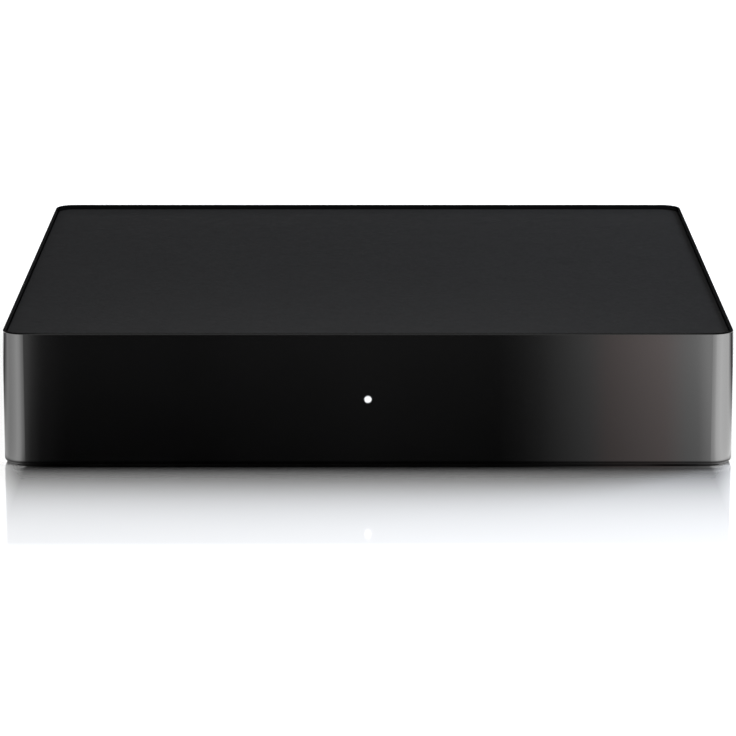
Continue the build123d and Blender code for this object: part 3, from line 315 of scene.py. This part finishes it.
def raised(name, outlines, x, z, low, high, material, bevel=0.0):
    """Makes one piece on the case from flat outlines seen from behind, raised from low to high in Y."""
    shape = bmesh.new()
    for outline in outlines:
        foot = [shape.verts.new((x - u, low, z + v)) for u, v in outline]
        top = [shape.verts.new((x - u, high, z + v)) for u, v in outline]
        shape.faces.new(foot)
        shape.faces.new(top)
        for n in range(len(outline)):
            shape.faces.new((foot[n - 1], foot[n], top[n], top[n - 1]))
    bmesh.ops.recalc_face_normals(shape, faces=shape.faces)
    mesh = bpy.data.meshes.new(name)
    shape.to_mesh(mesh)
    shape.free()
    piece = bpy.data.objects.new(name, mesh)
    bpy.context.collection.objects.link(piece)
    if bevel:
        rounding = piece.modifiers.new("rounding", "BEVEL")
        rounding.width = bevel
        rounding.segments = 3
        seam = piece.modifiers.new("seam", "WELD")  # joins the bevels of both ends where they meet
        seam.merge_threshold = 0.001 * MM
    mesh.materials.append(material)
    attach(piece, "case")


def power_sign():
    """A bar over three dashes."""
    rise, pitch, dash = 0.4 * MM, 1.05 * MM, 0.7 * MM
    dashes = [bar(shift * pitch, -rise, dash) for shift in (-1, 0, 1)]
    return [bar(0, rise, 2 * pitch + dash), *dashes]


def network_sign():
    """One box over two, joined by lines."""
    box, reach, drop = 0.9 * MM, 1.2 * MM, 1.1 * MM
    stem, stem_rise = 0.55 * MM, 0.4 * MM
    boxes = [bar(u, v, box, box) for u, v in ((0, drop), (-reach, -drop), (reach, -drop))]
    stem_spots = ((0, stem_rise), (-reach, -stem_rise), (reach, -stem_rise))
    stems = [bar(u, v, tall=stem) for u, v in stem_spots]
    return [*boxes, *stems, bar(0, 0, 2 * reach + PRINT_LINE)]


def screen_sign():
    """A screen's frame over its foot."""
    width, tall = 3.3 * MM, 2.0 * MM
    foot_width, foot_drop = 1.5 * MM, 0.5 * MM
    rails = [bar(0, side * tall / 2, width + PRINT_LINE) for side in (-1, 1)]
    posts = [bar(side * width / 2, 0, tall=tall) for side in (-1, 1)]
    return [*rails, *posts, bar(0, -tall / 2 - foot_drop, foot_width)]


def light_sign():
    """A ring round a dot, with four rays."""
    ring, dot, ray, reach = 0.9 * MM, 0.45 * MM, 0.5 * MM, 1.55 * MM
    level_rays = [bar(side * reach, 0, ray) for side in (-1, 1)]
    upright_rays = [bar(0, side * reach, tall=ray) for side in (-1, 1)]
    return [arc(ring, 0, 180), arc(ring, 180, 360), bar(0, 0, dot, dot), *level_rays, *upright_rays]


def headphone_sign():
    """A headband over two cups."""
    band, cup_drop, cup_width, cup_height = 1.25 * MM, 0.65 * MM, 0.65 * MM, 1.1 * MM
    cups = [bar(side * band, -cup_drop, cup_width, cup_height) for side in (-1, 1)]
    return [arc(band, -5, 185), *cups]


def restart_sign():
    """Most of a circle, with an arrow's head at its end."""
    head = [(0.55 * MM, 0.75 * MM), (1.5 * MM, 0.75 * MM), (1.0 * MM, 0.1 * MM)]
    return [arc(1.0 * MM, 60, 350), head]


def right_side(name):
    """The X of a node's +X side."""
    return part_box(name)[1].x


def middle(name):
    """The X of a node's middle."""
    return (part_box(name)[0].x + right_side(name)) / 2


def gap_middle(right, left):
    """The X halfway between two nodes, the +X one first."""
    return (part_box(right)[0].x + right_side(left)) / 2


def print_signs():
    """Prints a sign above or beside each socket in the rear panel, and above the reset button."""
    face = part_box("rear_panel")[1].y
    grey = printed_grey()
    signs = (
        ("power_sign", power_sign(), (right_side("dc_socket") + right_side("rear_panel")) / 2),
        ("screen_sign", screen_sign(), middle("video_shell")),
        ("network_sign", network_sign(), gap_middle("network_shell", "video_shell")),
        ("light_sign", light_sign(), gap_middle("video_shell", "optical_housing")),
        ("headphone_sign", headphone_sign(), middle("av_socket")),
        ("restart_sign", restart_sign(), middle("reset_button")),
    )
    for name, outlines, x in signs:
        raised(name, outlines, x, SIGN_HEIGHT, face, face + PRINT_DEPTH, grey)


def fit_link_windows():
    """Sets two unlit signal windows, one green and one amber, in the network socket's lower corners."""
    insert_low, insert_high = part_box("network_insert")
    z = insert_low.z + WINDOW_RISE
    face = insert_high.y
    windows = (
        ("link_window_left", WINDOW_SHIFT, (0.02, 0.16, 0.03), (0.04, 0.24, 0.06)),
        ("link_window_right", -WINDOW_SHIFT, (0.3, 0.13, 0.01), (0.42, 0.2, 0.03)),
    )
    for name, shift, dark, light in windows:
        outline = bar(0, 0, WINDOW_WIDTH, WINDOW_HEIGHT)
        raised(name, [outline], middle("network_insert") + shift, z, face, face + WINDOW_DEPTH,
               window_tint(name, dark, light), WINDOW_BEVEL)


# ---------------------------------------------------------------- stage: floor, cards and lights
def plane(name, width, depth, centre, turn=(0, 0, 0)):
    """A flat rectangle for the stage."""
    mesh = bpy.data.meshes.new(name)
    corners = [(u, v, 0) for u, v in bar(0, 0, width, depth)]
    mesh.from_pydata(corners, [], [(0, 1, 2, 3)])
    made = bpy.data.objects.new(name, mesh)
    bpy.context.collection.objects.link(made)
    made.location = centre
    made.rotation_euler = turn
    return made


def only_in_reflections(made):
    """Hides a card from everything but reflections."""
    made.visible_camera = False
    made.visible_diffuse = False
    made.visible_transmission = False
    made.visible_shadow = False


def empty_material(name):
    """A material without nodes, and its tree."""
    material = bpy.data.materials.new(name)
    material.use_nodes = True
    material.node_tree.nodes.clear()
    return material, material.node_tree


def emission_material(name):
    """A material with one emission shader: returns it, its tree, the shader and the output node."""
    material, tree = empty_material(name)
    glow = node(tree, "ShaderNodeEmission")
    output = node(tree, "ShaderNodeOutputMaterial", {"Surface": glow.outputs[0]})
    return material, tree, glow, output


def beside_box(tree, position):
    """Where a floor point lies.

    Returns its split position, how far it lies past the corner centres in X and in Y, and its gap from the
    wall.
    """
    split = node(tree, "ShaderNodeSeparateXYZ", {0: position})
    across = math(tree, "SUBTRACT", math(tree, "ABSOLUTE", split.outputs["X"]), corner_at)
    along = math(tree, "SUBTRACT", math(tree, "ABSOLUTE", split.outputs["Y"]), corner_at)
    outward_x = math(tree, "POWER", math(tree, "MAXIMUM", across, 0), 2)
    outward_y = math(tree, "POWER", math(tree, "MAXIMUM", along, 0), 2)
    reach = math(tree, "SQRT", math(tree, "ADD", outward_x, outward_y))
    gap = math(tree, "MAXIMUM", math(tree, "SUBTRACT", reach, corner_radius), 0)
    return split, across, along, gap


FLOOR_SIZE, CARD_SIZE = 12, 4
FLOOR_DROP, CARD_DROP = 0.02 * MM, 0.04 * MM  # below the feet
FLOOR_ROUGHNESS = 0.06
# Seen from above, the floor mirrors this share of what it mirrors at a grazing angle.
FACING_SHARE = 0.04
GRAZING_RANGE = (0.2, 0.74)
# The mirroring dies away over these two lengths, each with its share of the whole.
MIRROR_FADES = ((16 * MM, 0.62), (180 * MM, 0.38))
MIRROR_END = (47 * MM, 54.5 * MM)  # the mirroring ends between these gaps from the walls
OFF_CORNER_SHARE = 0.55  # how much of the mirroring is left off the corners


def floor():
    """A pale floor that mirrors the box near its walls, and less with distance and from above."""
    made = plane("floor", FLOOR_SIZE, FLOOR_SIZE, (0, 0, -FLOOR_DROP))
    made.visible_glossy = False
    material, tree = empty_material("pale_floor")
    position = node(tree, "ShaderNodeTexCoord").outputs["Object"]
    _, across, along, gap = beside_box(tree, position)
    steep, slow = (
        math(tree, "MULTIPLY", math(tree, "EXPONENT", math(tree, "DIVIDE", gap, -length)), share)
        for length, share in MIRROR_FADES)
    near = math(tree, "MULTIPLY", math(tree, "ADD", steep, slow), spread(tree, gap, 1, 0, *MIRROR_END))
    corner_share = spread(tree, math(tree, "MINIMUM", across, along), 1, OFF_CORNER_SHARE, 0, corner_radius)
    near = math(tree, "MULTIPLY", near, corner_share)
    grazing = node(tree, "ShaderNodeLayerWeight", {"Blend": 0.5}).outputs["Facing"]
    amount = math(tree, "MULTIPLY", near, spread(tree, grazing, FACING_SHARE, 1, *GRAZING_RANGE))
    patches = spread(tree, noise(tree, position, 60 * MM), 0, 1)
    tone = blend_colours(tree, patches, (0.93, 0.93, 0.93), (0.95, 0.95, 0.95))
    matte = node(tree, "ShaderNodeBsdfDiffuse", {"Color": tone})
    polish = node(tree, "ShaderNodeBsdfAnisotropic", {"Roughness": FLOOR_ROUGHNESS, "Color": (1, 1, 1, 1)})
    mix = node(tree, "ShaderNodeMixShader", {0: amount, 1: matte.outputs[0], 2: polish.outputs[0]})
    node(tree, "ShaderNodeOutputMaterial", {"Surface": mix.outputs[0]})
    made.data.materials.append(material)


def ramp(tree, factor, stops, last=1):
    """A ramp through (place, value) stops. Places run 0..last and values 0..CARD_PEAK."""
    made = node(tree, "ShaderNodeValToRGB", {0: factor})
    elements = made.color_ramp.elements
    while len(elements) < len(stops):
        elements.new(0.5)
    for element, (place, value) in zip(elements, stops):
        element.position = place / last
        element.color = (*[value / CARD_PEAK] * 3, 1)
    return made.outputs[0]


CARD_PEAK = 10.0  # the value that the ramps' scale calls full strength
CARD_STRENGTH = 3.75  # the glow card's emission at full strength
# The light off the two dark corners and the two bright ones, by the angle round the corner in degrees.
DARK_CORNER = ((0, 1.1), (5, 1.7), (12, 3.3), (20, 5.1), (36, 6.0), (52, 5.1), (72, 4.2), (92, 3.5),
               (112, 3.0), (136, 2.0), (160, 0.9), (180, 0.1))
BRIGHT_CORNER = ((0, 4.0), (12, 5.6), (25, 8.6), (50, 10), (80, 8.6), (105, 6.6), (130, 4.6), (160, 2.0),
                 (180, 0.1))
# The light before the front wall's dark and bright halves, from its middle (0) to its corner (1).
DARK_STRIP = ((0, 0.08), (0.5, 0.04), (0.88, 0.04), (0.95, 0.12), (0.98, 0.38), (1, 1.1))
BRIGHT_STRIP = ((0, 0.08), (0.38, 0.06), (0.44, 0.12), (0.5, 0.24), (0.58, 0.52), (0.72, 1.05),
                (0.86, 1.6), (0.96, 2.35), (1, 4.0))
REAR_LIGHT, SIDE_LIGHT = 0.7, 0.35  # added behind the box and beside it, on the ramps' scale
VIEW_REACH = 0.65  # metres from the front wall to the point that the lines of equal light fan out from
GROWTH_LENGTH = 95 * MM  # a strip's light grows over this length: by this range, and by this much everywhere
GROWTH_RANGE = (0.8, 1.2)
GROWTH_EVERYWHERE = 0.006
BESIDE_FADE = (-52 * MM, -12 * MM)  # a corner's light dies away between these places beside the side walls
FOOT_FADE = (1 * MM, 4.5 * MM)  # the card dims to this share of its light between these gaps from the walls
FOOT_SHARE = 0.2
WARM_TINT = (1.14, 0.99, 0.97)
WARM_START, WARM_END = (0.64, 0.7), (0.86, 0.93)  # where the bright strip turns warm, and neutral again


def glow_card():
    """The soft light that the gloss walls mirror: it lies round the box, and is brighter off its corners.

    The right half of the front and the left half of the rear are the bright halves.
    """
    made = plane("glow_card", CARD_SIZE, CARD_SIZE, (0, 0, -CARD_DROP))
    only_in_reflections(made)
    material, tree, glow, _ = emission_material("glow_card")
    position = node(tree, "ShaderNodeTexCoord").outputs["Object"]
    split, _, along, gap = beside_box(tree, position)
    right = math(tree, "GREATER_THAN", split.outputs["X"], 0)
    rear = math(tree, "GREATER_THAN", split.outputs["Y"], 0)
    bright = math(tree, "ABSOLUTE", math(tree, "SUBTRACT", right, rear))
    # Lines of equal light before a wall lean outwards, so that they look upright in a wall seen square on.
    out = math(tree, "MAXIMUM", along, 0)
    lean = math(tree, "ADD", 1, math(tree, "DIVIDE", out, VIEW_REACH))
    upright = math(tree, "DIVIDE", math(tree, "ABSOLUTE", split.outputs["X"]), lean)
    place = math(tree, "DIVIDE", upright, corner_at)
    strip = mix_values(tree, bright, ramp(tree, place, DARK_STRIP), ramp(tree, place, BRIGHT_STRIP))
    growth = spread(tree, out, 0, 1, 0, GROWTH_LENGTH)
    strip = math(tree, "MULTIPLY", strip, spread(tree, growth, *GROWTH_RANGE, 0, 1))
    strip = math(tree, "ADD", strip, math(tree, "MULTIPLY", growth, GROWTH_EVERYWHERE))
    strip = math(tree, "ADD", strip, math(tree, "MULTIPLY", rear, REAR_LIGHT / CARD_PEAK))
    # Off a corner the light depends on the angle round it, and dies away beside the two side walls.
    across = math(tree, "MULTIPLY", math(tree, "SUBTRACT", place, 1), math(tree, "MULTIPLY", lean, corner_at))
    turn = math(tree, "DIVIDE", math(tree, "ARCTAN2", across, along), pi, clamp=True)
    dark_corner, bright_corner = (ramp(tree, turn, stops, 180) for stops in (DARK_CORNER, BRIGHT_CORNER))
    corner = mix_values(tree, bright, dark_corner, bright_corner)
    corner = math(tree, "MULTIPLY", corner, spread(tree, along, 0, 1, *BESIDE_FADE))
    level = mix_values(tree, math(tree, "LESS_THAN", across, 0), corner, strip)
    side = math(tree, "LESS_THAN", along, 0)
    level = math(tree, "ADD", level, math(tree, "MULTIPLY", side, SIDE_LIGHT / CARD_PEAK))
    level = math(tree, "MULTIPLY", level, spread(tree, gap, FOOT_SHARE, 1, *FOOT_FADE))
    # The outer part of the bright strip is a little warm.
    warm_from, warm_to = spread(tree, place, 0, 1, *WARM_START), spread(tree, place, 1, 0, *WARM_END)
    warmth = math(tree, "MULTIPLY", warm_from, warm_to)
    tint = blend_colours(tree, math(tree, "MULTIPLY", bright, warmth), (1, 1, 1), WARM_TINT)
    tinted = node(tree, "ShaderNodeVectorMath", {0: tint, "Scale": level}, operation="SCALE").outputs[0]
    tree.links.new(tinted, glow.inputs["Color"])
    glow.inputs["Strength"].default_value = CARD_STRENGTH
    made.data.materials.append(material)


FLAG_LIGHT = 0.025
FLAG_GAP, FLAG_RISE, FLAG_HEIGHT = 3 * MM, 0.6 * MM, 60 * MM  # past the walls, above the box, and tall


def flags():
    """Four cards round the lid's edge, dark on the inside, so that the lid and its lip mirror no backdrop."""
    material, tree, glow, output = emission_material("flag_black")
    glow.inputs["Strength"].default_value = FLAG_LIGHT
    from_outside = node(tree, "ShaderNodeNewGeometry").outputs["Backfacing"]
    clear = node(tree, "ShaderNodeBsdfTransparent").outputs[0]
    mix = node(tree, "ShaderNodeMixShader", {0: from_outside, 1: glow.outputs[0], 2: clear})
    tree.links.new(mix.outputs[0], output.inputs["Surface"])
    stand_off = half + FLAG_GAP
    for n in range(4):
        turn = n * pi / 2
        centre = (stand_off * sin(turn), stand_off * cos(turn), height + FLAG_RISE + FLAG_HEIGHT / 2)
        made = plane(f"flag_{n}", 2 * stand_off, FLAG_HEIGHT, centre, (pi / 2, 0, -turn))
        only_in_reflections(made)
        made.data.materials.append(material)


CEILING_LIGHT = 0.12
CEILING_START, CEILING_FULL = radians(22), radians(48)  # the mirrored ceiling dims between these rises
SECOND_LOSS = 0.85  # what a second mirroring takes from the backdrop's light


def studio_world():
    """White to the camera and low down, dim overhead to reflections, so that gloss mirrors a dark ceiling."""
    world = bpy.data.worlds.new("studio")
    bpy.context.scene.world = world
    world.use_nodes = True
    tree = world.node_tree
    background = tree.nodes["Background"]
    direction = node(tree, "ShaderNodeTexCoord").outputs["Generated"]
    rise = node(tree, "ShaderNodeSeparateXYZ", {0: direction}).outputs["Z"]
    ceiling = spread(tree, rise, 1, CEILING_LIGHT, sin(CEILING_START), sin(CEILING_FULL))
    path = node(tree, "ShaderNodeLightPath")
    second = math(tree, "GREATER_THAN", path.outputs["Glossy Depth"], 1.5)
    kept = math(tree, "SUBTRACT", 1, math(tree, "MULTIPLY", second, SECOND_LOSS))
    mirrored = math(tree, "MULTIPLY", ceiling, kept)
    level = mix_values(tree, path.outputs["Is Glossy Ray"], 1, mirrored)
    tree.links.new(level, background.inputs["Strength"])
    background.inputs["Color"].default_value = (1, 1, 1, 1)


def soft_light(name, place, size, power, colour=(1, 1, 1)):
    """A square light aimed at the box, which gloss surfaces don't mirror."""
    data = bpy.data.lights.new(name, "AREA")
    data.size = size
    data.energy = power
    data.color = colour
    made = bpy.data.objects.new(name, data)
    made.location = place
    made.rotation_euler = (Vector((0, 0, height / 2)) - Vector(place)).to_track_quat("-Z", "Y").to_euler()
    made.visible_glossy = False
    bpy.context.collection.objects.link(made)


CAMERA_LENS = 191.6  # millimetres, on a sensor 36 wide
CAMERA_BACK, CAMERA_RISE = 0.615, 0.1306  # metres before the front wall and above the lid
CAMERA_DIP = radians(12.492)  # how far it looks down


def photo_camera():
    """The camera: a long lens square on to the front, looking down by a little over twelve degrees."""
    data = bpy.data.cameras.new("photo_camera")
    data.sensor_width = 36
    data.lens = CAMERA_LENS
    data.clip_start = 0.01
    made = bpy.data.objects.new("photo_camera", data)
    bpy.context.collection.objects.link(made)
    made.location = (0, -half - CAMERA_BACK, height + CAMERA_RISE)
    made.rotation_euler = (pi / 2 - CAMERA_DIP, 0, 0)
    bpy.context.scene.camera = made


# ---------------------------------------------------------------- build
dress_cad_nodes()
print_signs()
fit_link_windows()
floor()
glow_card()
flags()
studio_world()
soft_light("key_right", (0.3, 0.1, 0.22), size=0.16, power=1.3, colour=(0.9, 0.97, 1.1))
soft_light("top_soft", (-0.3, -0.4, 1.0), size=0.9, power=3.0)
photo_camera()
bpy.context.scene.view_settings.view_transform = "Standard"
